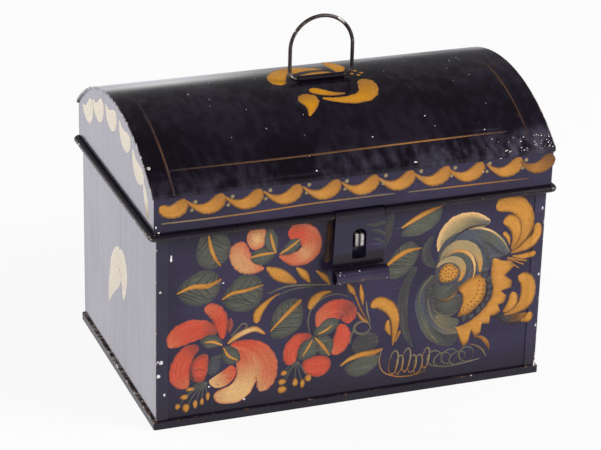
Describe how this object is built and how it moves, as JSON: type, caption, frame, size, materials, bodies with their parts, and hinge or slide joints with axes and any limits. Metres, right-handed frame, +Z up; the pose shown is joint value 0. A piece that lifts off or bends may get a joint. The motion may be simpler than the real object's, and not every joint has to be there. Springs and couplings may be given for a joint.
{
  "type": "document trunk",
  "caption": "Small dome-topped tin trunk for papers, japanned black with painted flowers, with a hinged lid, a slotted hasp and a wire bail.",
  "frame": {"origin": "middle of the underside of the bottom pan, on the surface that the trunk stands on", "axes": "+Z up, +X to the right along the trunk's length seen from its front, +Y from the hasp's side to the hinges"},
  "size_m": [0.247, 0.1673, 0.2137],
  "materials": {
    "japanned_body": "glossy black japan varnish over tinned sheet, worn to bare tin at corners",
    "japanned_lid": "glossy black japan varnish with scuffs",
    "japanned_pan": "black japan varnish, chipped at the corners",
    "rim_wire": "varnished iron wire",
    "japanned_hasp": "black japan varnish, worn at the slot and the grip",
    "bare_tin": "bare tinned strip, rubbed bright",
    "bail_wire": "dark iron wire, rubbed bright in places"
  },
  "bodies": {
    "box": {"body_front_sheet": "japanned_body", "body_back_sheet": "japanned_body", "body_left_end": "japanned_body", "body_right_end": "japanned_body", "bottom_pan": "japanned_pan", "body_rim_wire": "rim_wire", "latch_staple": "bare_tin", "hinge_strap_left": "japanned_body", "hinge_strap_right": "japanned_body"},
    "lid": {"lid_dome": "japanned_lid", "lid_front_apron": "japanned_lid", "lid_back_apron": "japanned_lid", "lid_left_end": "japanned_lid", "lid_right_end": "japanned_lid", "lid_rim_wire": "rim_wire", "hinge_pin_wire": "rim_wire", "bail_strap": "japanned_lid"},
    "bail": {"bail_handle": "bail_wire"},
    "hasp": {"hasp_plate": "japanned_hasp"}
  },
  "joints": [
    {"name": "lid_open", "type": "hinge", "parent": "box", "child": "lid", "pos_m": [0, 0.0776, 0.1199], "axis": [-1, 0, 0], "range_deg": [0, 110]},
    {"name": "hasp_swing", "type": "hinge", "parent": "lid", "child": "hasp", "pos_m": [0, -0.0776, 0.1199], "axis": [-1, 0, 0], "range_deg": [-7, 150]},
    {"name": "bail_swing", "type": "hinge", "parent": "lid", "child": "bail", "pos_m": [0.003, -0.004, 0.17522], "axis": [1, 0, 0], "range_deg": [-92, 93]}
  ]
}
